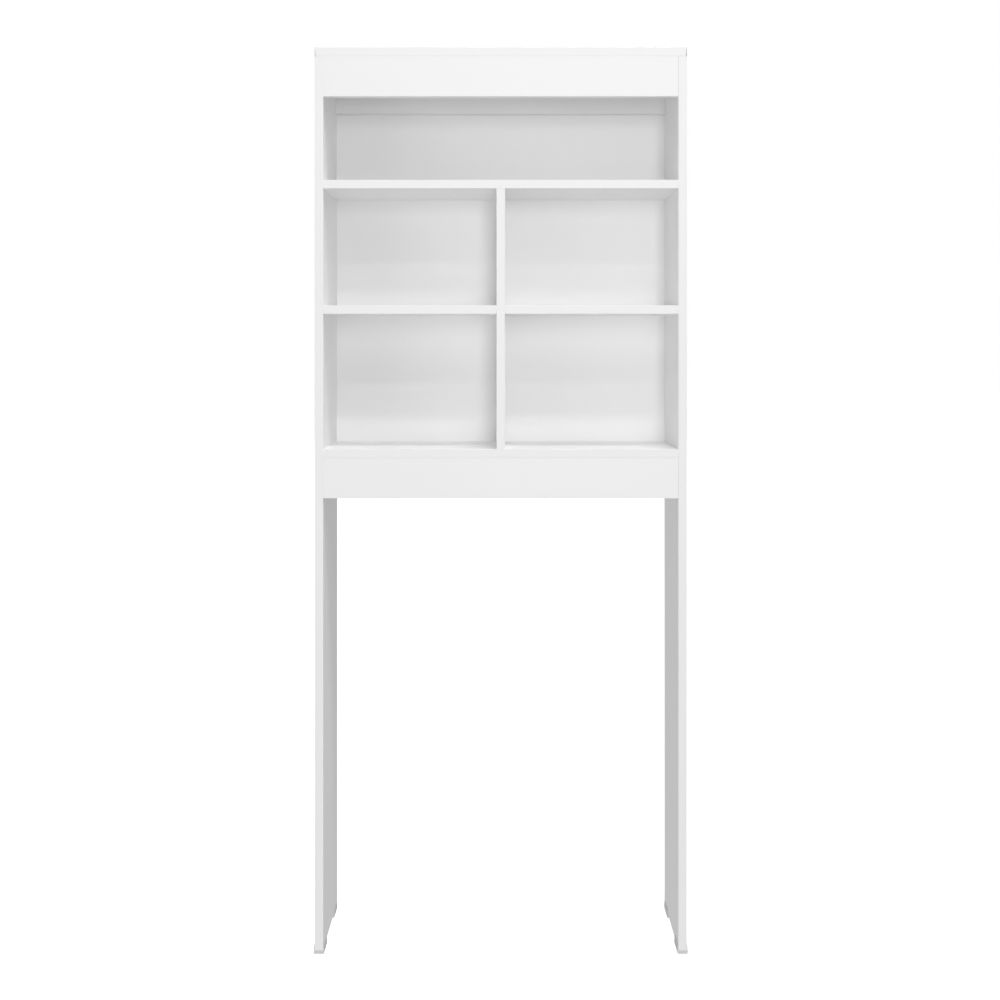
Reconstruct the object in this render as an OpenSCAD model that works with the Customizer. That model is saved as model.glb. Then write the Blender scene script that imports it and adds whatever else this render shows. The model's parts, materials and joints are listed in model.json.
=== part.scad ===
// Over the toilet storage rack: white flat-pack boards joined by cam fittings and wooden dowels.
// The origin is on the floor, at the centre of the footprint. +X is right, -Y is the front, +Z is up.

/* [Overall size] */
// Width over the side panels
body_w = 700; // [600:10:800]
// Depth of the side panels
body_d = 200; // [180:5:260]
// Height from the floor to the top
body_h = 1705; // [1650:5:1800]

/* [Boards] */
// Thickness of every board but the back
board_t = 16; // [15:1:18]
// Thickness of the back panel
back_t = 3; // [2.5:0.5:3.5]
// Thickness of the edge bands
band_t = 1; // [0.5:0.1:2]

/* [Rows] */
// Height of the fascia, the back rail and the apron
rail_h = 76; // [65:1:90]
// Clear height between the fascia and the upper shelf
top_row_h = 157; // [120:1:180]
// Clear height of the row above the middle shelf
upper_row_h = 220; // [180:5:250]
// Clear height of the row below the middle shelf
lower_row_h = 255; // [200:5:280]

/* [Feet] */
// Thickness of the cap under a side panel
foot_base_t = 7; // [3:0.5:8]
// Length of a foot cap along the depth
foot_l = 44; // [30:1:60]
// Distance of the rear caps from the rear edges of the side panels
foot_inset = 10; // [0:1:20]
// Height of a foot cap from the floor
foot_h = 16; // [10:1:25]
// Width of the overlap on each face of the panel
foot_wall = 2; // [1.5:0.1:3]

/* [Joinery] */
// Diameter of a cam lock
cam_d = 15; // [12:1:15]
// Distance from a board's end to the cam's centre
cam_setback = 24; // [24:1:34]
// Diameter of a wooden dowel
dowel_d = 8; // [6:1:8]
// Length of a wooden dowel
dowel_l = 30; // [25:1:30]
// Distance of the cams from the middle of the depth
cam_y = 60; // [50:1:62]
// Distance of the dowels from the middle of the depth
dowel_y = 28; // [20:1:30]
// Gap left around each fitting in its hole
fit_gap = 0.1; // [0.05:0.05:0.2]

/* [Wall fixing] */
// Diameter of the two screw holes in the back rail
wall_hole_d = 5; // [4:0.5:6]
// Distance between the two screw holes
wall_hole_spacing = 400; // [380:5:440]
// Distance of the screw holes below the top panel
wall_hole_drop = 30; // [20:1:40]

/* [Hidden] */
$fn = 48;

board_colour = "white";
band_colour = "whitesmoke";
foot_colour = "gainsboro";
steel_colour = "silver";
zinc_colour = "darkgray";
dowel_colour = "burlywood";

LEFT = -1;
RIGHT = 1;
UP = [0, 0, 1];
DOWN = [0, 0, -1];
REARWARD = [0, 1, 0];

eps = 0.01;
front_y = -body_d / 2;
rear_y = body_d / 2;
outer_x = body_w / 2;
inner_x = outer_x - board_t;
board_mid_x = outer_x - board_t / 2;
divider_x = board_t / 2;

// Heights of the undersides, from the top down
top_z = body_h - board_t;
rail_z = top_z - rail_h;
upper_shelf_z = rail_z - top_row_h - board_t;
middle_shelf_z = upper_shelf_z - upper_row_h - board_t;
bottom_shelf_z = middle_shelf_z - lower_row_h - board_t;
apron_z = bottom_shelf_z - rail_h;
divider_z = bottom_shelf_z + board_t;

// The rebate in the side panels that the back panel lies in
rebate_w = board_t / 2;
rebate_d = back_t + 1;
back_gap = 0.5;
shelf_rear_y = rear_y - rebate_d;
rail_front_mid_y = front_y + board_t / 2;
rail_rear_mid_y = shelf_rear_y - board_t / 2;

// Cam bolt: a threaded end, a shank, and a neck and head that the cam grips
cam_h = 12.5;
thread_r = 3;
thread_l = 11;
shank_r = 3.5;
neck_r = 2;
head_r = 3.3;
head_back = 3.2;
head_front = 1.4;
shank_end = cam_setback - head_back - 2;
cam_wall_r = cam_d / 2 - fit_gap;
cam_mouth_w = 2 * (shank_r + 0.5);
cam_slot_w = 1.4;
cam_slot_l = 9;
cam_slot_depth = 2;
dowel_in_face = 9.5;
dowel_in_edge = dowel_l - dowel_in_face;
rail_fitting_z = 16;
rail_dowel_x = 150;

// Divider screws: a countersunk head in the shelf and a thread in the divider's end
screw_l = 50;
screw_head_r = 5;
screw_head_l = 3;
screw_collar_r = 3.5;
screw_thread_r = 2.6;
screw_socket_d = 4;
screw_sink = 0.5;
screw_collar_l = board_t - screw_sink - 1.5;
screw_point_l = 4;

cover_cap_t = 1;
cover_cap_rim = 0.4;
cam_cap_r = cam_d / 2 + 1.2;
screw_cap_r = screw_head_r + 1.5;

// Nails
nail_r = 0.8;
nail_l = 16;
nail_head_r = 2;
nail_head_t = 0.7;
nail_inset = 25;
side_nail_count = 6;
shelf_nail_count = 4;
foot_nail_l = 20;
foot_nail_r = 1.2;
foot_nail_head_r = 2.6;
foot_nail_head_t = 1;
foot_recess = 2;

foot_gap = 0.1;
foot_lip = 1.2;
foot_round = 2;

// --- Joints -------------------------------------------------------------------------------
// A cam joint is [point on the mating faces, direction into the cam's board, side the cam opens].
// A dowel is [point on the mating faces, direction into the board whose end it enters].

function on_side(joints, side) = [for (j = joints) if (j[0][0] * side > 0) j];

function shelf_end_cams(z, opening) = [
    for (side = [LEFT, RIGHT], y = [-cam_y, cam_y])
        [[side * inner_x, y, z + board_t / 2], [-side, 0, 0], opening]
];
function shelf_end_dowels(z) = [
    for (side = [LEFT, RIGHT], y = [-dowel_y, dowel_y])
        [[side * inner_x, y, z + board_t / 2], [-side, 0, 0]]
];
function rail_end_cams(y, z) = [
    for (side = [LEFT, RIGHT])
        [[side * inner_x, y, z + rail_h / 2 - rail_fitting_z], [-side, 0, 0], REARWARD]
];
function rail_end_dowels(y, z) = [
    for (side = [LEFT, RIGHT])
        [[side * inner_x, y, z + rail_h / 2 + rail_fitting_z], [-side, 0, 0]]
];
function rail_edge_dowels(y, z) = [
    for (x = [-rail_dowel_x, rail_dowel_x]) [[x, y, z], DOWN]
];

top_cams = [
    for (side = [LEFT, RIGHT], y = [-cam_y, cam_y])
        [[side * board_mid_x, y, top_z], DOWN, [-side, 0, 0]]
];
top_dowels = [
    for (side = [LEFT, RIGHT], y = [-dowel_y, dowel_y]) [[side * board_mid_x, y, top_z], DOWN]
];
fascia_cams = rail_end_cams(rail_front_mid_y, rail_z);
fascia_dowels = rail_end_dowels(rail_front_mid_y, rail_z);
fascia_top_dowels = rail_edge_dowels(rail_front_mid_y, top_z);
back_rail_cams = rail_end_cams(rail_rear_mid_y, rail_z);
back_rail_dowels = rail_end_dowels(rail_rear_mid_y, rail_z);
back_rail_top_dowels = rail_edge_dowels(rail_rear_mid_y, top_z);
apron_cams = rail_end_cams(rail_front_mid_y, apron_z);
apron_dowels = rail_end_dowels(rail_front_mid_y, apron_z);
apron_top_dowels = rail_edge_dowels(rail_front_mid_y, bottom_shelf_z);
upper_shelf_cams = shelf_end_cams(upper_shelf_z, UP);
upper_shelf_dowels = shelf_end_dowels(upper_shelf_z);
middle_shelf_cams = shelf_end_cams(middle_shelf_z, DOWN);
middle_shelf_dowels = shelf_end_dowels(middle_shelf_z);
bottom_shelf_cams = shelf_end_cams(bottom_shelf_z, DOWN);
bottom_shelf_dowels = shelf_end_dowels(bottom_shelf_z);

middle_shelf_mid_z = middle_shelf_z + board_t / 2;
divider_face_cams = [
    for (side = [LEFT, RIGHT], y = [-cam_y, cam_y])
        [[side * divider_x, y, middle_shelf_mid_z], [side, 0, 0], DOWN]
];
divider_face_dowels = [
    for (side = [LEFT, RIGHT]) [[side * divider_x, side * dowel_y, middle_shelf_mid_z], [side, 0, 0]]
];
divider_end_dowels = [[[0, 0, upper_shelf_z], DOWN], [[0, 0, divider_z], UP]];

side_cams = concat(
    fascia_cams, back_rail_cams, apron_cams, upper_shelf_cams, middle_shelf_cams, bottom_shelf_cams
);
side_dowels = concat(
    fascia_dowels, back_rail_dowels, apron_dowels,
    upper_shelf_dowels, middle_shelf_dowels, bottom_shelf_dowels
);
all_cams = concat(top_cams, side_cams, divider_face_cams);
all_dowels = concat(
    top_dowels, side_dowels, fascia_top_dowels, back_rail_top_dowels, apron_top_dowels,
    divider_face_dowels, divider_end_dowels
);
covered_cams = concat(upper_shelf_cams, middle_shelf_cams, bottom_shelf_cams, divider_face_cams);

// Divider screws: [point on the shelf's outer face, direction into the divider]
divider_screw_places = [
    for (y = [-cam_y, cam_y], end = [[upper_shelf_z + board_t, DOWN], [bottom_shelf_z, UP]])
        [[0, y, end[0]], end[1]]
];

rear_foot_y = rear_y - foot_inset - foot_l;
foot_nail_places = [
    for (side = [LEFT, RIGHT], y_low = [front_y, rear_foot_y]) [side * board_mid_x, y_low + foot_l / 2]
];

// Nails through the back panel: [x, z]
side_nail_step = (rail_z - bottom_shelf_z - 2 * nail_inset) / (side_nail_count - 1);
shelf_nail_step = 2 * inner_x / shelf_nail_count;
side_nails = [
    for (side = [LEFT, RIGHT], i = [0 : side_nail_count - 1])
        [side * (inner_x + rebate_w / 2), bottom_shelf_z + nail_inset + i * side_nail_step]
];
row_nails = [
    for (
        z = [bottom_shelf_z, middle_shelf_z, upper_shelf_z, top_z - board_t],
        i = [0 : shelf_nail_count - 1]
    ) [-inner_x + (i + 0.5) * shelf_nail_step, z + board_t / 2]
];
divider_nails = [
    for (z = [middle_shelf_z - lower_row_h / 2, middle_shelf_z + board_t + upper_row_h / 2]) [0, z]
];
back_nails = concat(side_nails, row_nails, divider_nails);

wall_hole_z = top_z - wall_hole_drop;
wall_holes = [for (x = [-wall_hole_spacing / 2, wall_hole_spacing / 2]) [x, wall_hole_z]];

// --- Shapes that repeat -------------------------------------------------------------------

// Puts a child's origin at p, its +X along x_dir and its +Z along z_dir
module place(p, x_dir, z_dir) {
    y_dir = cross(z_dir, x_dir);
    multmatrix([
        [x_dir[0], y_dir[0], z_dir[0], p[0]],
        [x_dir[1], y_dir[1], z_dir[1], p[1]],
        [x_dir[2], y_dir[2], z_dir[2], p[2]],
        [0, 0, 0, 1]
    ]) children();
}

function across(direction) = abs(direction[1]) > 0.5 ? [1, 0, 0] : [0, 1, 0];

module place_along(p, direction) {
    place(p, across(direction), direction) children();
}

module place_cam(joint) {
    centre = joint[0] + cam_setback * joint[1] + board_t / 2 * joint[2];
    place(centre, -joint[1], joint[2]) children();
}

// A block from its lowest corner to its highest
module block(low, high) {
    translate(low) cube(high - low);
}

module y_hole(x, z, r, y_from, y_to) {
    translate([x, y_from, z]) rotate([-90, 0, 0]) cylinder(r = r, h = y_to - y_from);
}

// Blind hole for a bolt's thread, in the face of the board that the bolt is screwed into
module thread_holes(joints) {
    for (j = joints)
        place_along(j[0], -j[1]) translate([0, 0, -eps])
            cylinder(r = thread_r + fit_gap, h = thread_l + 0.5);
}

// Hole for a bolt's shank from the board's end, and the round pocket that its cam sits in
module cam_holes(joints) {
    for (j = joints) {
        place_along(j[0], j[1]) translate([0, 0, -eps])
            cylinder(r = shank_r + 0.5, h = cam_setback);
        place_cam(j) translate([0, 0, -cam_h])
            cylinder(d = cam_d, h = cam_h + eps);
    }
}

module dowel_holes(dowels, into_end) {
    depth = into_end ? dowel_in_edge : dowel_in_face;
    for (d = dowels)
        place_along(d[0], into_end ? d[1] : -d[1]) translate([0, 0, -eps])
            cylinder(r = dowel_d / 2 + fit_gap, h = depth + 0.5);
}

module wall_screw_holes(y_from, y_to) {
    for (h = wall_holes)
        y_hole(h[0], h[1], wall_hole_d / 2, y_from - eps, y_to + eps);
}

module nail_holes(nails) {
    for (n = nails)
        y_hole(n[0], n[1], nail_r + fit_gap / 2, shelf_rear_y + back_t - nail_l, rear_y + eps);
}

// Nails that a board takes in its rear edge or face
function nails_between(x_low, x_high, z_low, z_high) = [
    for (n = back_nails) if (n[0] > x_low && n[0] < x_high && n[1] > z_low && n[1] < z_high) n
];

// --- Boards -------------------------------------------------------------------------------

module side_panel(side) {
    x_low = side == LEFT ? -outer_x : inner_x;
    rebate_x = side == LEFT ? -inner_x - rebate_w : inner_x;
    color(board_colour)
    difference() {
        block([x_low, front_y + band_t, foot_base_t], [x_low + board_t, rear_y, top_z]);
        block(
            [side == LEFT ? rebate_x : rebate_x - eps, shelf_rear_y, bottom_shelf_z],
            [rebate_x + rebate_w + (side == LEFT ? eps : 0), rear_y + eps, top_z + eps]
        );
        thread_holes(on_side(side_cams, side));
        dowel_holes(on_side(side_dowels, side), false);
        cam_holes(on_side(top_cams, side));
        dowel_holes(on_side(top_dowels, side), true);
        nail_holes(side == LEFT ? nails_between(-outer_x, -inner_x, 0, body_h)
            : nails_between(inner_x, outer_x, 0, body_h));
        for (p = foot_nail_places)
            if (p[0] * side > 0)
                translate([p[0], p[1], foot_base_t - eps])
                    cylinder(r = foot_nail_r + fit_gap / 2, h = foot_nail_l);
    }
}

module side_panel_left() {
    side_panel(LEFT);
}

module side_panel_right() {
    side_panel(RIGHT);
}

module top_panel() {
    color(board_colour)
    difference() {
        block([-outer_x + band_t, front_y + band_t, top_z], [outer_x - band_t, rear_y, body_h]);
        thread_holes(top_cams);
        dowel_holes(concat(top_dowels, fascia_top_dowels, back_rail_top_dowels), false);
    }
}

// An upright board between the side panels, with a banded lower edge
module rail(mid_y, z, cams, end_dowels, top_dowels) {
    color(board_colour)
    difference() {
        block(
            [-inner_x, mid_y - board_t / 2, z + band_t],
            [inner_x, mid_y + board_t / 2, z + rail_h]
        );
        cam_holes(cams);
        dowel_holes(concat(end_dowels, top_dowels), true);
        children();
    }
}

module top_fascia() {
    rail(rail_front_mid_y, rail_z, fascia_cams, fascia_dowels, fascia_top_dowels);
}

module top_back_rail() {
    rail(rail_rear_mid_y, rail_z, back_rail_cams, back_rail_dowels, back_rail_top_dowels) {
        union() {
            wall_screw_holes(shelf_rear_y - board_t, shelf_rear_y);
            nail_holes(nails_between(-inner_x, inner_x, rail_z, top_z));
        }
    }
}

module bottom_apron() {
    rail(rail_front_mid_y, apron_z, apron_cams, apron_dowels, apron_top_dowels);
}

// A shelf between two upright faces, with a banded front edge
module shelf(x_low, x_high, z) {
    color(board_colour)
    difference() {
        block([x_low, front_y + band_t, z], [x_high, shelf_rear_y, z + board_t]);
        nail_holes(nails_between(x_low, x_high, z, z + board_t));
        children();
    }
}

module upper_shelf() {
    shelf(-inner_x, inner_x, upper_shelf_z) {
        union() {
            cam_holes(upper_shelf_cams);
            dowel_holes(upper_shelf_dowels, true);
            dowel_holes([divider_end_dowels[0]], false);
            divider_screw_holes();
        }
    }
}

module middle_shelf(side) {
    x_low = side == LEFT ? -inner_x : divider_x;
    shelf(x_low, x_low + inner_x - divider_x, middle_shelf_z) {
        union() {
            cam_holes(on_side(concat(middle_shelf_cams, divider_face_cams), side));
            dowel_holes(on_side(concat(middle_shelf_dowels, divider_face_dowels), side), true);
        }
    }
}

module middle_shelf_left() {
    middle_shelf(LEFT);
}

module middle_shelf_right() {
    middle_shelf(RIGHT);
}

module bottom_shelf() {
    shelf(-inner_x, inner_x, bottom_shelf_z) {
        union() {
            cam_holes(bottom_shelf_cams);
            dowel_holes(bottom_shelf_dowels, true);
            dowel_holes(concat(apron_top_dowels, [divider_end_dowels[1]]), false);
            divider_screw_holes();
        }
    }
}

module centre_divider() {
    color(board_colour)
    difference() {
        block(
            [-divider_x, front_y + band_t, divider_z],
            [divider_x, shelf_rear_y, upper_shelf_z]
        );
        for (y = [-cam_y, cam_y])
            translate([-divider_x - eps, y, middle_shelf_mid_z]) rotate([0, 90, 0])
                cylinder(r = shank_r + 0.5, h = board_t + 2 * eps);
        dowel_holes(divider_face_dowels, false);
        dowel_holes(divider_end_dowels, true);
        divider_screw_holes();
        nail_holes(divider_nails);
    }
}

module back_panel() {
    half_w = inner_x + rebate_w - back_gap;
    color(board_colour)
    difference() {
        block([-half_w, shelf_rear_y, bottom_shelf_z], [half_w, shelf_rear_y + back_t, top_z - back_gap]);
        wall_screw_holes(shelf_rear_y, shelf_rear_y + back_t);
        nail_holes(back_nails);
    }
}

// --- Edge bands ---------------------------------------------------------------------------

module front_band(x_low, x_high, z_low, z_high) {
    color(band_colour) block([x_low, front_y, z_low], [x_high, front_y + band_t, z_high]);
}

module lower_band(mid_y, z) {
    color(band_colour)
        block([-inner_x, mid_y - board_t / 2, z], [inner_x, mid_y + board_t / 2, z + band_t]);
}

module side_left_edge_band() {
    front_band(-outer_x, -inner_x, foot_base_t, top_z);
}

module side_right_edge_band() {
    front_band(inner_x, outer_x, foot_base_t, top_z);
}

module top_front_edge_band() {
    front_band(-outer_x + band_t, outer_x - band_t, top_z, body_h);
}

module top_end_band(x_low) {
    color(band_colour) block([x_low, front_y, top_z], [x_low + band_t, rear_y, body_h]);
}

module top_left_edge_band() {
    top_end_band(-outer_x);
}

module top_right_edge_band() {
    top_end_band(outer_x - band_t);
}

module fascia_edge_band() {
    lower_band(rail_front_mid_y, rail_z);
}

module back_rail_edge_band() {
    lower_band(rail_rear_mid_y, rail_z);
}

module apron_edge_band() {
    lower_band(rail_front_mid_y, apron_z);
}

module upper_shelf_edge_band() {
    front_band(-inner_x, inner_x, upper_shelf_z, upper_shelf_z + board_t);
}

module divider_edge_band() {
    front_band(-divider_x, divider_x, divider_z, upper_shelf_z);
}

module middle_left_edge_band() {
    front_band(-inner_x, -divider_x, middle_shelf_z, middle_shelf_z + board_t);
}

module middle_right_edge_band() {
    front_band(divider_x, inner_x, middle_shelf_z, middle_shelf_z + board_t);
}

module bottom_shelf_edge_band() {
    front_band(-inner_x, inner_x, bottom_shelf_z, bottom_shelf_z + board_t);
}

// --- Feet ---------------------------------------------------------------------------------

// Cross-section of a foot cap: a shoe with rounded lower corners and walls that thin upwards
module foot_section() {
    inside = board_t / 2 + foot_gap;
    outside = board_t / 2 + foot_wall;
    difference() {
        union() {
            translate([-outside + foot_round, 0]) square([2 * (outside - foot_round), foot_round]);
            for (side = [LEFT, RIGHT])
                translate([side * (outside - foot_round), foot_round]) circle(r = foot_round);
            polygon([
                [-outside, foot_round], [outside, foot_round],
                [inside + foot_lip, foot_h], [-inside - foot_lip, foot_h]
            ]);
        }
        translate([-inside, foot_base_t]) square([2 * inside, foot_h]);
    }
}

module foot_cap(side, y_low) {
    color(foot_colour)
    difference() {
        translate([side * board_mid_x, y_low + foot_l, 0])
            rotate([90, 0, 0]) linear_extrude(foot_l) foot_section();
        translate([side * board_mid_x, y_low + foot_l / 2, -eps]) {
            cylinder(r = foot_nail_r + fit_gap / 2, h = foot_base_t + 1);
            cylinder(r = foot_nail_head_r + fit_gap, h = foot_recess);
        }
    }
}

module foot_cap_front_left() {
    foot_cap(LEFT, front_y);
}

module foot_cap_front_right() {
    foot_cap(RIGHT, front_y);
}

module foot_cap_rear_left() {
    foot_cap(LEFT, rear_foot_y);
}

module foot_cap_rear_right() {
    foot_cap(RIGHT, rear_foot_y);
}

// --- Fittings -----------------------------------------------------------------------------

// A cam: its face at z = 0, its mouth towards +X for the bolt's head, and a cross for the driver
module cam() {
    mouth_z = -board_t / 2;
    difference() {
        translate([0, 0, -cam_h + fit_gap]) cylinder(r = cam_wall_r, h = cam_h - fit_gap);
        translate([-head_r - 1, -cam_mouth_w / 2, mouth_z - cam_mouth_w / 2])
            cube([cam_d, cam_mouth_w, cam_mouth_w]);
        for (turn = [0, 90])
            rotate([0, 0, turn])
                translate([-cam_slot_l / 2, -cam_slot_w / 2, -cam_slot_depth])
                    cube([cam_slot_l, cam_slot_w, cam_slot_depth + eps]);
    }
}

module cam_locks() {
    color(zinc_colour)
    for (j = all_cams)
        place_cam(j) cam();
}

// Half outline of a bolt from the mating faces to its head, as [radius, height]
bolt_head_outline = [
    [shank_r, 0], [shank_r, shank_end], [neck_r, shank_end + 1], [neck_r, cam_setback - head_back + 1],
    [head_r, cam_setback - head_front], [head_r, cam_setback + head_front - 0.4],
    [0, cam_setback + head_front]
];

module cam_bolts() {
    color(steel_colour)
    for (j = concat(top_cams, side_cams))
        place_along(j[0], j[1])
            rotate_extrude()
                polygon(concat([[0, -thread_l], [thread_r - 1, -thread_l], [thread_r, 1 - thread_l],
                    [thread_r, 0]], bolt_head_outline));
}

module divider_bolts() {
    color(steel_colour)
    for (y = [-cam_y, cam_y], side = [LEFT, RIGHT])
        translate([0, y, middle_shelf_mid_z])
            place_along([0, 0, 0], [side, 0, 0])
                rotate_extrude()
                    polygon(concat([[0, 0], [shank_r, 0]], [for (p = bolt_head_outline)
                        if (p[1] > 0) [p[0], p[1] + divider_x]]));
}

module wooden_dowels() {
    chamfer = 1;
    r = dowel_d / 2;
    color(dowel_colour)
    for (d = all_dowels)
        place_along(d[0], d[1])
            rotate_extrude()
                polygon([
                    [0, -dowel_in_face], [r - chamfer, -dowel_in_face], [r, chamfer - dowel_in_face],
                    [r, dowel_in_edge - chamfer], [r - chamfer, dowel_in_edge], [0, dowel_in_edge]
                ]);
}

module divider_screw_holes() {
    for (s = divider_screw_places)
        place_along(s[0], s[1]) {
            translate([0, 0, -eps]) cylinder(r = screw_head_r + fit_gap, h = screw_sink + screw_head_l + 1);
            cylinder(r = screw_collar_r + fit_gap, h = board_t);
            cylinder(r = screw_thread_r + fit_gap, h = screw_l + 1);
        }
}

module divider_screws() {
    color(steel_colour)
    for (s = divider_screw_places)
        place_along(s[0], s[1]) translate([0, 0, screw_sink])
            difference() {
                rotate_extrude()
                    polygon([
                        [0, 0], [screw_head_r, 0], [screw_head_r, 1], [screw_collar_r, screw_head_l],
                        [screw_collar_r, screw_collar_l], [screw_thread_r, screw_collar_l + 1],
                        [screw_thread_r, screw_l - screw_point_l], [0, screw_l]
                    ]);
                translate([0, 0, -eps]) cylinder(d = screw_socket_d, h = 2, $fn = 6);
            }
}

// A thin disc with a bevelled rim, its flat side at z = 0
module cover_cap(r) {
    rotate_extrude()
        polygon([[0, 0], [r, 0], [r, cover_cap_t - cover_cap_rim], [r - cover_cap_rim, cover_cap_t],
            [0, cover_cap_t]]);
}

module cam_cover_caps() {
    color(board_colour)
    for (j = covered_cams)
        place_cam(j) cover_cap(cam_cap_r);
}

module screw_cover_caps() {
    color(board_colour)
    for (s = divider_screw_places)
        place_along(s[0], -s[1]) cover_cap(screw_cap_r);
}

module nail(l, r, head_r, head_t) {
    point_l = 2 * r;
    rotate_extrude()
        polygon([[0, -l], [r, point_l - l], [r, 0], [head_r, 0], [head_r, head_t], [0, head_t]]);
}

module back_panel_nails() {
    color(steel_colour)
    for (n = back_nails)
        place_along([n[0], shelf_rear_y + back_t, n[1]], REARWARD)
            nail(nail_l - 1, nail_r, nail_head_r, nail_head_t);
}

module foot_cap_nails() {
    color(steel_colour)
    for (p = foot_nail_places)
        place_along([p[0], p[1], foot_recess - eps], DOWN)
            nail(foot_nail_l, foot_nail_r, foot_nail_head_r, foot_nail_head_t);
}

side_panel_left();
side_panel_right();
top_panel();
top_fascia();
top_back_rail();
upper_shelf();
centre_divider();
middle_shelf_left();
middle_shelf_right();
bottom_shelf();
bottom_apron();
back_panel();
side_left_edge_band();
side_right_edge_band();
top_front_edge_band();
top_left_edge_band();
top_right_edge_band();
fascia_edge_band();
back_rail_edge_band();
upper_shelf_edge_band();
divider_edge_band();
middle_left_edge_band();
middle_right_edge_band();
bottom_shelf_edge_band();
apron_edge_band();
foot_cap_front_left();
foot_cap_front_right();
foot_cap_rear_left();
foot_cap_rear_right();
cam_locks();
cam_bolts();
divider_bolts();
wooden_dowels();
divider_screws();
cam_cover_caps();
screw_cover_caps();
back_panel_nails();
foot_cap_nails();
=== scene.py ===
"""Looks for the over the toilet storage rack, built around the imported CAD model.

Each board, edge band and foot cap is rebuilt as a finished piece in the CAD node's own place. The fittings
keep their CAD shapes. All lengths are in metres, in the row's frame: -Y is the front and +Z is up.
"""

import json
import math

import bmesh
import bpy
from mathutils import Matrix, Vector


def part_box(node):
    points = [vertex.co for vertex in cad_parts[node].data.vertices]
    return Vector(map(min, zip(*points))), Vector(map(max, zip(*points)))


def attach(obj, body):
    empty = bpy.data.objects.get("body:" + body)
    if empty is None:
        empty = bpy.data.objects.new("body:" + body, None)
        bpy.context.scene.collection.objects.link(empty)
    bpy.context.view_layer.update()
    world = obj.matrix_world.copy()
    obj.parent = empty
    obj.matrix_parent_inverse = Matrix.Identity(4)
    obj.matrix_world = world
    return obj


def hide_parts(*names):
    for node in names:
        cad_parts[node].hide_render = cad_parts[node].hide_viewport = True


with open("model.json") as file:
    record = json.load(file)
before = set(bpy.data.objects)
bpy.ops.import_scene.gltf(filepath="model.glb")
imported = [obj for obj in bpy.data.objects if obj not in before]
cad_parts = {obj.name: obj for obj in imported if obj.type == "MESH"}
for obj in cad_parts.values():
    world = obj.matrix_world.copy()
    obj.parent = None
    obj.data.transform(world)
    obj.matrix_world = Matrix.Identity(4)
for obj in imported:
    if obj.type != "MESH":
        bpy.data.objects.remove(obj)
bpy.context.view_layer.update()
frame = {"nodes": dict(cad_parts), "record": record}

MM = 0.001

# ---------------------------------------------------------------- camera

FRONT_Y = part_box("side_left_edge_band")[0].y
CAMERA_DISTANCE = 2.326
CAMERA_HEIGHT = 1.150
CAMERA_LENS = 44.53
CAMERA_SHIFT = (-0.0008, -0.1574)
SENSOR_WIDTH = 36.0
VIEW_REACH = 100.0


def make_camera():
    """Looks straight at the rack from the front. The shift puts the horizon above the picture's middle."""
    data = bpy.data.cameras.new("camera")
    data.lens = CAMERA_LENS
    data.sensor_width = SENSOR_WIDTH
    data.shift_x, data.shift_y = CAMERA_SHIFT
    data.clip_end = VIEW_REACH
    camera = bpy.data.objects.new("camera", data)
    camera.location = (0.0, FRONT_Y - CAMERA_DISTANCE, CAMERA_HEIGHT)
    camera.rotation_euler = (math.radians(90), 0.0, 0.0)
    bpy.context.scene.collection.objects.link(camera)
    bpy.context.scene.camera = camera


make_camera()

# ---------------------------------------------------------------- material tools


def maths_node(tree, operation, a, b):
    """Adds a maths node to a tree. a and b are numbers or the outputs of other nodes."""
    node = tree.nodes.new("ShaderNodeMath")
    node.operation = operation
    for socket, value in zip(node.inputs, (a, b)):
        if isinstance(value, (int, float)):
            socket.default_value = value
        else:
            tree.links.new(value, socket)
    return node.outputs["Value"]


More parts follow.
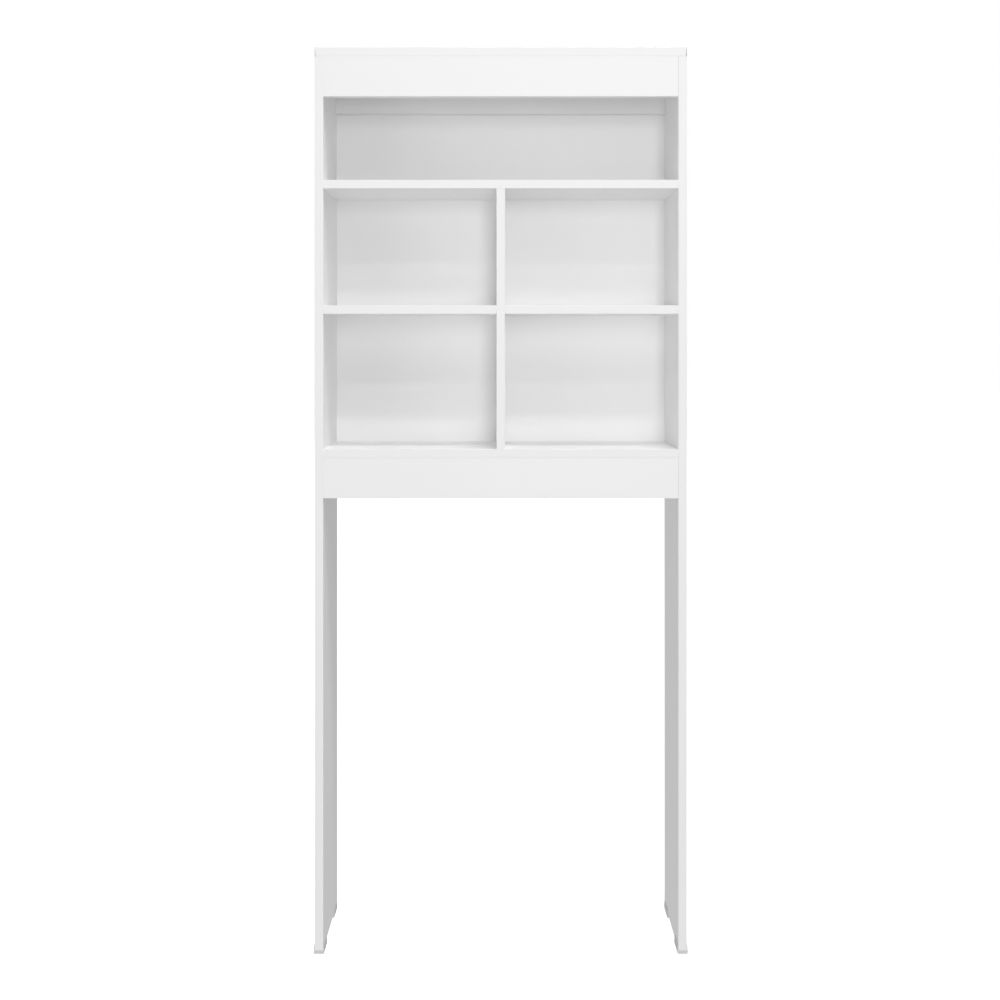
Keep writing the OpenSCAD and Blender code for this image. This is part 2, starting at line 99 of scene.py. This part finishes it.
class Nodes:
    """A material's node tree, with short calls for the nodes that the materials here share."""

    def __init__(self, name, **sockets):
        self.material = bpy.data.materials.new(name)
        self.material.use_nodes = True
        self.tree = self.material.node_tree
        self.shader = self.tree.nodes["Principled BSDF"]
        self.place = self.new("ShaderNodeTexCoord").outputs["Object"]
        for socket, value in sockets.items():
            self.shader.inputs[socket.replace("_", " ")].default_value = value

    def new(self, kind, **settings):
        node = self.tree.nodes.new(kind)
        for key, value in settings.items():
            setattr(node, key, value)
        return node

    def link(self, source, target):
        self.tree.links.new(source, target)

    def stretched(self, scale):
        """Object coordinates scaled along each axis."""
        mapping = self.new("ShaderNodeMapping")
        mapping.inputs["Scale"].default_value = scale
        self.link(self.place, mapping.inputs["Vector"])
        return mapping.outputs["Vector"]

    def noise(self, scale, detail=2.0, roughness=0.5, place=None):
        node = self.new("ShaderNodeTexNoise")
        node.inputs["Scale"].default_value = scale
        node.inputs["Detail"].default_value = detail
        node.inputs["Roughness"].default_value = roughness
        self.link(place or self.place, node.inputs["Vector"])
        return node.outputs["Fac"]

    def cells(self, scale, feature="F1", output="Distance", place=None):
        node = self.new("ShaderNodeTexVoronoi", feature=feature)
        node.inputs["Scale"].default_value = scale
        self.link(place or self.place, node.inputs["Vector"])
        return node.outputs[output]

    def spread(self, value, low, high, start=0.3, stop=0.7):
        """Maps a 0 to 1 texture value to low to high."""
        node = self.new("ShaderNodeMapRange")
        for socket, number in (("From Min", start), ("From Max", stop), ("To Min", low), ("To Max", high)):
            node.inputs[socket].default_value = number
        self.link(value, node.inputs["Value"])
        return node.outputs["Result"]

    def maths(self, operation, a, b):
        return maths_node(self.tree, operation, a, b)

    def ramp(self, value, *stops):
        """A colour ramp. Each stop is (position, colour)."""
        node = self.new("ShaderNodeValToRGB")
        elements = node.color_ramp.elements
        while len(elements) < len(stops):
            elements.new(0.5)
        for element, (position, colour) in zip(elements, stops):
            element.position = position
            element.color = (*colour, 1.0)
        self.link(value, node.inputs["Fac"])
        return node.outputs["Color"]

    def mottle(self, value, dark, light):
        """A colour that wanders between two near shades."""
        return self.ramp(value, (0.3, dark), (0.7, light))

    def colour(self, output):
        self.link(output, self.shader.inputs["Base Color"])

    def rough(self, output):
        self.link(output, self.shader.inputs["Roughness"])

    def bump(self, height, depth, strength=1.0, under=None):
        """Relief of that depth in metres. under is the normal of another bump to add this one to."""
        node = self.new("ShaderNodeBump")
        node.inputs["Strength"].default_value = strength
        node.inputs["Distance"].default_value = depth
        self.link(height, node.inputs["Height"])
        if under is not None:
            self.link(under, node.inputs["Normal"])
        return node.outputs["Normal"]

    def relief(self, normal):
        self.link(normal, self.shader.inputs["Normal"])


def shade(colour, factor):
    return tuple(channel * factor for channel in colour)


# ---------------------------------------------------------------- materials

BOARD_WHITE = (0.887, 0.886, 0.886)
# The fascia and apron get a darker copy of the board white: painted shade that tones down the extra light
# their front faces catch
FRONT_PAINTED_SHADE_WHITE = (0.840, 0.840, 0.840)
BAND_WHITE = (0.83, 0.83, 0.83)
BACK_WHITE = (0.890, 0.886, 0.891)

# Chipboard flakes per metre, and the distance between the wires of the hardboard press's screen
CHIP_SCALE = 420.0
SCREEN_PITCH = 1.6 * MM


def melamine(name, white):
    """White melamine face: a fine pearled press texture, a faint cloudiness and very light handling marks."""
    m = Nodes(name, IOR=1.5)
    cloud = m.noise(scale=3.0, detail=3.0)
    m.colour(m.mottle(cloud, shade(white, 0.985), white))
    handling = m.noise(scale=9.0, detail=4.0, roughness=0.6)
    pearl = m.noise(scale=750.0, detail=2.0)
    pearl_gloss = m.spread(pearl, low=-0.03, high=0.03)
    m.rough(m.maths("ADD", m.spread(handling, low=0.38, high=0.46), pearl_gloss))
    soft = m.bump(m.noise(scale=60.0, detail=1.0), depth=0.06 * MM, strength=0.4)
    m.relief(m.bump(pearl, depth=0.05 * MM, strength=0.5, under=soft))
    return m.material


def edge_band():
    """White plastic band: a little duller and greyer than the board, with a finer grain."""
    m = Nodes("white_edge_band", IOR=1.5)
    m.colour(m.mottle(m.noise(scale=4.0, detail=2.0), shade(BAND_WHITE, 0.985), BAND_WHITE))
    m.rough(m.spread(m.noise(scale=40.0, detail=3.0), low=0.48, high=0.58))
    m.relief(m.bump(m.noise(scale=600.0, detail=2.0), depth=0.03 * MM, strength=0.4))
    return m.material


def chipboard():
    """The board's raw core: pressed wood flakes of mixed tan with dark gaps between them."""
    m = Nodes("raw_chipboard", Roughness=0.85)
    flakes = m.stretched((1.0, 1.0, 1.6))
    tone = m.cells(CHIP_SCALE, output="Color", place=flakes)
    grey = m.new("ShaderNodeRGBToBW")
    m.link(tone, grey.inputs["Color"])
    mixed = m.maths("ADD", m.maths("MULTIPLY", grey.outputs["Val"], 0.7), m.noise(scale=900.0, detail=4.0))
    m.colour(m.ramp(mixed, (0.35, (0.20, 0.12, 0.06)), (0.75, (0.52, 0.37, 0.22)), (1.0, (0.70, 0.55, 0.37))))
    gaps = m.cells(CHIP_SCALE, feature="DISTANCE_TO_EDGE", place=flakes)
    rough_cut = m.bump(m.noise(scale=1500.0, detail=3.0), depth=0.3 * MM, strength=0.6)
    sunk_gaps = m.spread(gaps, low=0.0, high=1.0, start=0.0, stop=0.15)
    m.relief(m.bump(sunk_gaps, depth=0.3 * MM, strength=0.8, under=rough_cut))
    return m.material


def lacquered_hardboard():
    """Front of the back panel: printed white lacquer over fine fibres, with a soft gloss."""
    m = Nodes("white_lacquered_hardboard", IOR=1.5, Specular_IOR_Level=1.0)
    cloud = m.noise(scale=2.5, detail=3.0)
    m.colour(m.mottle(cloud, shade(BACK_WHITE, 0.975), BACK_WHITE))
    fibres = m.noise(scale=520.0, detail=3.0, roughness=0.6)
    m.rough(m.spread(fibres, low=0.34, high=0.42))
    waves = m.bump(m.noise(scale=14.0, detail=1.0), depth=0.3 * MM, strength=0.35)
    m.relief(m.bump(fibres, depth=0.1 * MM, strength=0.5, under=waves))
    return m.material


def raw_hardboard():
    """Rear of the back panel and its sawn edge: brown fibre with the imprint of the press's wire screen."""
    m = Nodes("raw_hardboard", Roughness=0.8)
    fibres = m.noise(scale=1.0, detail=4.0, roughness=0.6, place=m.stretched((260.0, 260.0, 260.0)))
    blotches = m.noise(scale=7.0, detail=3.0)
    mixed = m.maths("ADD", m.maths("MULTIPLY", fibres, 0.6), m.maths("MULTIPLY", blotches, 0.4))
    m.colour(m.ramp(mixed, (0.35, (0.33, 0.22, 0.13)), (0.65, (0.47, 0.34, 0.22))))
    parts = m.new("ShaderNodeSeparateXYZ")
    m.link(m.place, parts.inputs["Vector"])
    turn = 2 * math.pi / SCREEN_PITCH
    across = m.maths("SINE", m.maths("MULTIPLY", parts.outputs["X"], turn), 0.0)
    upward = m.maths("SINE", m.maths("MULTIPLY", parts.outputs["Z"], turn), 0.0)
    screen = m.bump(m.maths("MULTIPLY", across, upward), depth=0.12 * MM, strength=0.6)
    m.relief(m.bump(fibres, depth=0.2 * MM, strength=0.5, under=screen))
    return m.material


def foot_plastic():
    """Milky moulded plastic that lets a little light in."""
    m = Nodes(
        "milky_foot_plastic",
        Subsurface_Weight=0.25,
        Subsurface_Radius=(4 * MM, 4 * MM, 4 * MM),
        Subsurface_Scale=1.0,
        IOR=1.5,
    )
    cloud = m.noise(scale=90.0, detail=3.0)
    m.colour(m.mottle(cloud, (0.52, 0.53, 0.54), (0.58, 0.59, 0.60)))
    m.rough(m.spread(m.noise(scale=300.0, detail=3.0), low=0.30, high=0.44))
    m.relief(m.bump(m.noise(scale=500.0, detail=2.0), depth=0.06 * MM, strength=0.5))
    return m.material


def cover_plastic():
    """Thin white moulded discs, slightly creamier than the boards."""
    m = Nodes("white_cover_plastic", IOR=1.5)
    m.colour(m.mottle(m.noise(scale=150.0, detail=2.0), (0.83, 0.83, 0.82), (0.86, 0.86, 0.85)))
    m.rough(m.spread(m.noise(scale=400.0, detail=2.0), low=0.34, high=0.46))
    m.relief(m.bump(m.noise(scale=700.0, detail=2.0), depth=0.04 * MM, strength=0.5))
    return m.material


def cast_zinc():
    """Die-cast zinc: dull grey, pitted, with brighter rubbed patches."""
    m = Nodes("die_cast_zinc", Metallic=1.0)
    patches = m.noise(scale=220.0, detail=4.0, roughness=0.6)
    m.colour(m.mottle(patches, (0.42, 0.43, 0.45), (0.60, 0.61, 0.63)))
    m.rough(m.spread(patches, low=0.55, high=0.34))
    m.relief(m.bump(m.noise(scale=1400.0, detail=3.0), depth=0.12 * MM, strength=0.6))
    return m.material


def plated_steel():
    """Zinc-plated steel: bright, with fine turning marks and faint yellow-blue tints."""
    m = Nodes("zinc_plated_steel", Metallic=1.0)
    tint = m.noise(scale=120.0, detail=3.0)
    m.colour(m.mottle(tint, (0.66, 0.68, 0.71), (0.76, 0.75, 0.71)))
    m.rough(m.spread(m.noise(scale=900.0, detail=3.0), low=0.24, high=0.40))
    m.relief(m.bump(m.noise(scale=2200.0, detail=2.0), depth=0.04 * MM, strength=0.6))
    return m.material


def beech():
    """Plain beech dowel: pale brown with short darker flecks along the grain, which runs across the rack."""
    m = Nodes("beech", Roughness=0.6)
    grain = m.noise(scale=1.0, detail=4.0, roughness=0.6, place=m.stretched((60.0, 900.0, 900.0)))
    m.colour(m.ramp(grain, (0.35, (0.48, 0.31, 0.17)), (0.65, (0.66, 0.47, 0.29))))
    m.relief(m.bump(grain, depth=0.1 * MM, strength=0.5))
    return m.material


MELAMINE = melamine("white_melamine", BOARD_WHITE)
# Same melamine as the other boards, darkened as painted shade for the brightly lit front boards
FRONT_PAINTED_SHADE_MELAMINE = melamine("white_melamine_painted_shade", FRONT_PAINTED_SHADE_WHITE)
EDGE_BAND = edge_band()
CHIPBOARD = chipboard()
LACQUERED = lacquered_hardboard()
RAW_HARDBOARD = raw_hardboard()
FOOT_PLASTIC = foot_plastic()

CAD_LOOKS = {
    "cam_locks": cast_zinc(),
    "cam_bolts": plated_steel(),
    "wooden_dowels": beech(),
    "cam_cover_caps": cover_plastic(),
}
CAD_LOOKS["screw_cover_caps"] = CAD_LOOKS["cam_cover_caps"]
for steel_node in ("divider_bolts", "divider_screws", "back_panel_nails", "foot_cap_nails"):
    CAD_LOOKS[steel_node] = CAD_LOOKS["cam_bolts"]


def dress_fittings():
    """Gives every fitting that keeps its CAD shape its material."""
    for node, material in CAD_LOOKS.items():
        slots = frame["nodes"][node].data.materials
        slots.clear()
        slots.append(material)


# ---------------------------------------------------------------- mesh tools

CUT_ANGLE = math.radians(40)
HOLE_SIDES = 40
EASE_SEGMENTS = 2

# Vertices closer than this are one, and a face looks along a direction if its normal goes this far along it
WELD = 0.001 * MM
FACING = 0.5


def link(obj):
    bpy.context.scene.collection.objects.link(obj)
    return obj


def block(bm, low, high):
    """Adds a block to bm and returns its faces."""
    corners = [
        bm.verts.new((x, y, z))
        for x in (low[0], high[0])
        for y in (low[1], high[1])
        for z in (low[2], high[2])
    ]
    loops = ((0, 1, 3, 2), (4, 6, 7, 5), (0, 4, 5, 1), (2, 3, 7, 6), (0, 2, 6, 4), (1, 5, 7, 3))
    return [bm.faces.new([corners[i] for i in loop]) for loop in loops]


def finish_mesh(bm, name, *materials):
    bmesh.ops.recalc_face_normals(bm, faces=bm.faces)
    mesh = bpy.data.meshes.new(name)
    bm.to_mesh(mesh)
    bm.free()
    for material in materials:
        mesh.materials.append(material)
    return link(bpy.data.objects.new(name, mesh))


def settle(piece):
    """Applies a piece's modifiers and drops them."""
    bpy.context.view_layer.update()
    evaluated = piece.evaluated_get(bpy.context.evaluated_depsgraph_get())
    mesh = bpy.data.meshes.new_from_object(evaluated)
    piece.modifiers.clear()
    piece.data = mesh


def cylinder_cutter(centre, axis, radius, length, material):
    """A rod to cut a round hole with, centred on a point."""
    bm = bmesh.new()
    turn = Vector((0, 0, 1)).rotation_difference(Vector(axis)).to_matrix().to_4x4()
    bmesh.ops.create_cone(
        bm,
        cap_ends=True,
        segments=HOLE_SIDES,
        radius1=radius,
        radius2=radius,
        depth=length,
        matrix=turn,
    )
    bmesh.ops.translate(bm, verts=bm.verts, vec=centre)
    return finish_mesh(bm, "cutter", material)


def block_cutter(low, high, material):
    bm = bmesh.new()
    block(bm, low, high)
    return finish_mesh(bm, "cutter", material)


def cut(piece, cutters):
    """Takes the cutters out of the piece. Each new face keeps its cutter's material."""
    for cutter in cutters:
        modifier = piece.modifiers.new("cut", "BOOLEAN")
        modifier.operation = "DIFFERENCE"
        modifier.solver = "EXACT"
        modifier.material_mode = "TRANSFER"
        modifier.object = cutter
    settle(piece)
    for cutter in cutters:
        bpy.data.objects.remove(cutter)


def smooth_shade(piece):
    """Shades the roundings smoothly. At each corner the widest face wins, so flat faces stay flat."""
    mesh = piece.data
    normals = [Vector() for _ in mesh.vertices]
    for polygon in mesh.polygons:
        polygon.use_smooth = True
        for index in polygon.vertices:
            normals[index] += polygon.normal * polygon.area**2
    mesh.normals_split_custom_set_from_vertices([normal.normalized() for normal in normals])


def ease_edges(piece, width, segments=EASE_SEGMENTS):
    """Rounds every sharp edge a little. The roundings get the piece's first material."""
    bevel = piece.modifiers.new("ease", "BEVEL")
    bevel.width = width
    bevel.segments = segments
    bevel.limit_method = "ANGLE"
    bevel.angle_limit = CUT_ANGLE
    bevel.material = 0
    settle(piece)
    smooth_shade(piece)


def stand_for(piece, node):
    """Puts the piece in the CAD node's place."""
    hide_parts(node)
    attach(piece, "root")


def islands(node):
    """The low and high corner of each separate solid in a CAD node, in order from left to right."""
    bm = bmesh.new()
    bm.from_mesh(frame["nodes"][node].data)
    bmesh.ops.remove_doubles(bm, verts=bm.verts, dist=WELD)
    found = []
    unseen = set(bm.verts)
    while unseen:
        front = [unseen.pop()]
        members = []
        while front:
            vert = front.pop()
            members.append(vert.co.copy())
            for edge in vert.link_edges:
                other = edge.other_vert(vert)
                if other in unseen:
                    unseen.discard(other)
                    front.append(other)
        low = Vector([min(co[axis] for co in members) for axis in range(3)])
        high = Vector([max(co[axis] for co in members) for axis in range(3)])
        found.append((low, high))
    bm.free()
    return sorted(found, key=lambda corners: (*corners[0], *corners[1]))


def inside(point, low, high, slack):
    return all(low[axis] - slack <= point[axis] <= high[axis] + slack for axis in range(3))


# ---------------------------------------------------------------- boards

BOARD_EASE = 0.2 * MM
BACK_EASE = 0.2 * MM
HOLE_CLEARANCE = 0.1 * MM
REBATE_PLAY = 0.5 * MM
SEAM = 0.2 * MM

# How far the cutters reach past the boards, the length of a wall hole's cutter, and the depth within which
# a face of the back panel is its front
CUT_BEYOND = 20 * MM
WALL_CUT_LENGTH = 100 * MM
BACK_FRONT_DEPTH = 0.1 * MM

FRONT_BOARDS = ("top_fascia", "bottom_apron")
SIDE_BOARDS = ("side_panel_left", "side_panel_right")
SHORT_OF_THE_RIGHT_PANEL = FRONT_BOARDS + ("fascia_edge_band", "apron_edge_band")
CAMS = islands("cam_locks")
WALL_HOLES = next(m for m in frame["record"]["mounts"] if m["kind"] == "bolt_pattern")

# Each board's thickness runs along this axis, so the two faces across it are melamine
THICKNESS_AXIS = {
    "side_panel_left": 0,
    "side_panel_right": 0,
    "centre_divider": 0,
    "top_fascia": 1,
    "top_back_rail": 1,
    "bottom_apron": 1,
    "top_panel": 2,
    "upper_shelf": 2,
    "middle_shelf_left": 2,
    "middle_shelf_right": 2,
    "bottom_shelf": 2,
}


def extent(node):
    """The low and high corner of a CAD node, less the hair-wide seam where one shows at its right end."""
    low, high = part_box(node)
    if node in SHORT_OF_THE_RIGHT_PANEL:
        high = high - Vector((SEAM, 0.0, 0.0))
    return low, high


def cam_cutters(low, high):
    """A pocket for each cam whose centre lies within a board."""
    cutters = []
    for cam_low, cam_high in CAMS:
        size = cam_high - cam_low
        axis = min(range(3), key=lambda i: size[i])
        radius = max(size) / 2 + HOLE_CLEARANCE
        centre = (cam_low + cam_high) / 2
        if inside(centre, low, high, 0.0):
            direction = [0.0, 0.0, 0.0]
            direction[axis] = 1.0
            cutters.append(cylinder_cutter(centre, direction, radius, size[axis] + HOLE_CLEARANCE, CHIPBOARD))
    return cutters


def wall_hole_cutters(material):
    """The two screw holes for fixing the rack to a wall."""
    middle = Vector(WALL_HOLES["pos_m"])
    half = WALL_HOLES["dims"]["spacing_x_mm"] * MM / 2
    radius = WALL_HOLES["dims"]["hole_r_mm"] * MM
    return [
        cylinder_cutter(middle + Vector((side * half, 0, 0)), (0, 1, 0), radius, WALL_CUT_LENGTH, material)
        for side in (-1, 1)
    ]


def rebate_cutter():
    """The space that the back panel takes out of the side panels' rear inner edges."""
    low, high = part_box("back_panel")
    return block_cutter(
        (low.x - REBATE_PLAY, low.y, low.z),
        (high.x + REBATE_PLAY, high.y + CUT_BEYOND, high.z + CUT_BEYOND),
        CHIPBOARD,
    )


def board(node):
    """A board with melamine on its two wide faces and its chipboard core showing where nothing covers it.

    Only the front and side boards need cam pockets: the other cams lie under caps or behind the back panel.
    """
    low, high = extent(node)
    axis = THICKNESS_AXIS[node]
    bm = bmesh.new()
    for face in block(bm, low, high):
        face.normal_update()
        face.material_index = 0 if abs(face.normal[axis]) > FACING else 1
    # The fascia and apron take the darker copy of the melamine, painted shade for the light their fronts
    # catch
    face_material = FRONT_PAINTED_SHADE_MELAMINE if node in FRONT_BOARDS else MELAMINE
    piece = finish_mesh(bm, node + "_board", face_material, CHIPBOARD)
    cutters = []
    if node in FRONT_BOARDS + SIDE_BOARDS:
        cutters += cam_cutters(low, high)
    if node in SIDE_BOARDS:
        cutters.append(rebate_cutter())
    if node == "top_back_rail":
        cutters += wall_hole_cutters(CHIPBOARD)
    if cutters:
        cut(piece, cutters)
    ease_edges(piece, BOARD_EASE)
    stand_for(piece, node)


def back_panel():
    """Thin hardboard: white lacquer in front, raw at the rear and on its sawn edges."""
    low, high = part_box("back_panel")
    bm = bmesh.new()
    for face in block(bm, low, high):
        face.normal_update()
        face.material_index = 0 if face.calc_center_median().y < low.y + BACK_FRONT_DEPTH else 1
    piece = finish_mesh(bm, "back_panel_sheet", LACQUERED, RAW_HARDBOARD)
    cut(piece, wall_hole_cutters(RAW_HARDBOARD))
    ease_edges(piece, BACK_EASE)
    stand_for(piece, "back_panel")


# ---------------------------------------------------------------- edge bands

BAND_RADIUS = 0.5 * MM
BAND_SEGMENTS = 4

# The side of each band that faces away from its board
BAND_OUTWARD = {
    "side_left_edge_band": (0, -1, 0),
    "side_right_edge_band": (0, -1, 0),
    "top_front_edge_band": (0, -1, 0),
    "upper_shelf_edge_band": (0, -1, 0),
    "divider_edge_band": (0, -1, 0),
    "middle_left_edge_band": (0, -1, 0),
    "middle_right_edge_band": (0, -1, 0),
    "bottom_shelf_edge_band": (0, -1, 0),
    "top_left_edge_band": (-1, 0, 0),
    "top_right_edge_band": (1, 0, 0),
    "fascia_edge_band": (0, 0, -1),
    "back_rail_edge_band": (0, 0, -1),
    "apron_edge_band": (0, 0, -1),
}


def band(node):
    """A glued strip, trimmed with a rounding cutter along the edges of its outer face."""
    low, high = extent(node)
    outward = Vector(BAND_OUTWARD[node])
    bm = bmesh.new()
    faces = block(bm, low, high)
    bmesh.ops.recalc_face_normals(bm, faces=bm.faces)
    outer = next(face for face in faces if face.normal.dot(outward) > FACING)
    bmesh.ops.bevel(
        bm,
        geom=list(outer.edges),
        offset=BAND_RADIUS,
        segments=BAND_SEGMENTS,
        profile=0.5,
        affect="EDGES",
    )
    piece = finish_mesh(bm, node + "_strip", EDGE_BAND)
    smooth_shade(piece)
    stand_for(piece, node)


# ---------------------------------------------------------------- foot caps

FOOT_CORNER = 2.0 * MM
FOOT_EASE = 0.5 * MM
FOOT_EASE_SEGMENTS = 3
FOOT_GAP = 0.1 * MM
FOOT_LIP = 1.2 * MM
ARC_STEPS = 6

# How far past a cap its nail may reach, and the length of the cutter that sinks the nail's head
NAIL_SEARCH = 20 * MM
RECESS_CUT = 4 * MM


def foot_outline(half, inner_half, base, height, lip):
    """Cross-section of the shoe, as (x, z) points from the left wall's top round to the right's."""
    arc = [
        (
            math.cos(math.radians(180 + 90 * i / ARC_STEPS)) * FOOT_CORNER,
            math.sin(math.radians(180 + 90 * i / ARC_STEPS)) * FOOT_CORNER,
        )
        for i in range(ARC_STEPS + 1)
    ]
    left = [(-inner_half - lip, height)]
    left += [(-half + FOOT_CORNER + x, FOOT_CORNER + z) for x, z in arc]
    inner = [(-inner_half, height), (-inner_half, base)]
    right = [(-x, z) for x, z in reversed(left)]
    return left + right + [(-x, z) for x, z in inner] + [(x, z) for x, z in reversed(inner)]


def foot_cap(node):
    """The plastic shoe on the end of a side panel, with a sunk hole for its nail."""
    low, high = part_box(node)
    side = "left" if "left" in node else "right"
    panel_low, panel_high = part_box("side_panel_" + side)
    middle = (low.x + high.x) / 2
    inner_half = (panel_high.x - panel_low.x) / 2 + FOOT_GAP
    outline = foot_outline((high.x - low.x) / 2, inner_half, panel_low.z, high.z, FOOT_LIP)
    bm = bmesh.new()
    rings = [[bm.verts.new((middle + x, y, z)) for x, z in outline] for y in (low.y, high.y)]
    for i in range(len(outline)):
        j = (i + 1) % len(outline)
        bm.faces.new((rings[0][i], rings[0][j], rings[1][j], rings[1][i]))
    bm.faces.new(rings[0])
    bm.faces.new(list(reversed(rings[1])))
    piece = finish_mesh(bm, node + "_shoe", FOOT_PLASTIC)
    nail_low, nail_high = next(
        box for box in islands("foot_cap_nails") if inside((box[0] + box[1]) / 2, low, high, NAIL_SEARCH)
    )
    nail_middle = (nail_low + nail_high) / 2
    head_radius = (nail_high.x - nail_low.x) / 2
    recess = Vector((nail_middle.x, nail_middle.y, 0.0))
    head_hole = cylinder_cutter(recess, (0, 0, 1), head_radius + HOLE_CLEARANCE, RECESS_CUT, FOOT_PLASTIC)
    cut(piece, [head_hole])
    ease_edges(piece, FOOT_EASE, FOOT_EASE_SEGMENTS)
    stand_for(piece, node)


# ---------------------------------------------------------------- stage and light

FLOOR_HALF = 12.0
FLOOR_WHITE = (0.93, 0.93, 0.93)
FLOOR_GLOW = 1.0

# Brightness of the surround as light on the rack, towards each side
SKY_REAR = 0.24
SKY_DOWN = 0.15
SKY_LEFT = 0.53
SKY_RIGHT = 0.35
SKY_SEEN = 1.0
SKY_SIDES = (
    ("Y", 1, SKY_REAR),
    ("Z", -1, SKY_DOWN),
    ("X", -1, SKY_LEFT),
    ("X", 1, SKY_RIGHT),
)

# Each softbox is (place, target, width, height, power in watts)
SOFTBOXES = {
    "far_strip": ((0.3, -5.3, 4.85), (0.0, 0.0, 1.2), 3.0, 0.15, 22.7),
    "near_front": ((0.5, -3.0, 4.3), (0.0, 0.0, 1.2), 1.6, 0.22, 44.0),
    "steep_right": ((1.3, -1.74, 6.0), (0.0, 0.0, 1.0), 2.2, 0.22, 144.0),
    "front_fill": ((0.37, -4.0, 1.6), (0.0, 0.0, 1.1), 0.8, 1.2, 28.0),
    "low_fill": ((0.37, -4.0, 0.9), (0.0, 0.0, 1.2), 0.8, 0.8, 11.7),
    "low_left": ((-2.2, -2.6, 0.7), (0.2, 0.0, 1.5), 1.2, 0.8, 6.9),
    "floor_fill": ((0.0, -2.5, -1.5), (0.0, 0.0, 1.2), 2.0, 1.0, 18.7),
}

VIEW_GAMMA = 1.33


def make_floor():
    """A plain pale floor, only for the camera. The surround and floor_fill give the light from below."""
    bm = bmesh.new()
    corners = [
        bm.verts.new((x * FLOOR_HALF, y * FLOOR_HALF, 0.0)) for x, y in ((-1, -1), (1, -1), (1, 1), (-1, 1))
    ]
    bm.faces.new(corners)
    m = Nodes("pale_floor", Roughness=0.6)
    m.colour(m.mottle(m.noise(scale=2.0, detail=2.0), shade(FLOOR_WHITE, 0.99), FLOOR_WHITE))
    m.shader.inputs["Emission Strength"].default_value = FLOOR_GLOW
    floor = finish_mesh(bm, "floor", m.material)
    floor.visible_diffuse = False
    floor.visible_glossy = False
    floor.visible_shadow = False


def make_world():
    """An even white surround: bright where it is seen, softer as light on the rack."""
    world = bpy.data.worlds.new("studio")
    bpy.context.scene.world = world
    world.use_nodes = True
    tree = world.node_tree
    background = tree.nodes["Background"]
    background.inputs["Color"].default_value = (1.0, 1.0, 1.0, 1.0)

    direction = tree.nodes.new("ShaderNodeTexCoord").outputs["Generated"]
    parts = tree.nodes.new("ShaderNodeSeparateXYZ")
    tree.links.new(direction, parts.inputs["Vector"])
    light = 0.0
    for axis, sign, amount in SKY_SIDES:
        along = maths_node(tree, "MULTIPLY", parts.outputs[axis], sign)
        towards = maths_node(tree, "MAXIMUM", along, 0.0)
        light = maths_node(tree, "ADD", maths_node(tree, "MULTIPLY", towards, amount), light)
    seen = tree.nodes.new("ShaderNodeMix")
    tree.links.new(tree.nodes.new("ShaderNodeLightPath").outputs["Is Camera Ray"], seen.inputs["Factor"])
    tree.links.new(light, seen.inputs["A"])
    seen.inputs["B"].default_value = SKY_SEEN
    tree.links.new(seen.outputs["Result"], background.inputs["Strength"])


def softbox(name, place, target, width, height, power):
    """A rectangular area light at a place, turned to a target."""
    data = bpy.data.lights.new(name, "AREA")
    data.shape = "RECTANGLE"
    data.size = width
    data.size_y = height
    data.energy = power
    light = link(bpy.data.objects.new(name, data))
    light.location = place
    light.rotation_euler = (Vector(target) - Vector(place)).to_track_quat("-Z", "Y").to_euler()
    return light


def make_lights():
    for name, settings in SOFTBOXES.items():
        softbox(name, *settings)


def set_exposure():
    view = bpy.context.scene.view_settings
    view.view_transform = "Standard"
    view.look = "None"
    view.exposure = 0.0
    view.gamma = VIEW_GAMMA


# ---------------------------------------------------------------- build

for board_node in THICKNESS_AXIS:
    board(board_node)
back_panel()
for band_node in BAND_OUTWARD:
    band(band_node)
for foot_node in (f"foot_cap_{end}_{side}" for end in ("front", "rear") for side in ("left", "right")):
    foot_cap(foot_node)
dress_fittings()

make_floor()
make_world()
make_lights()
set_exposure()
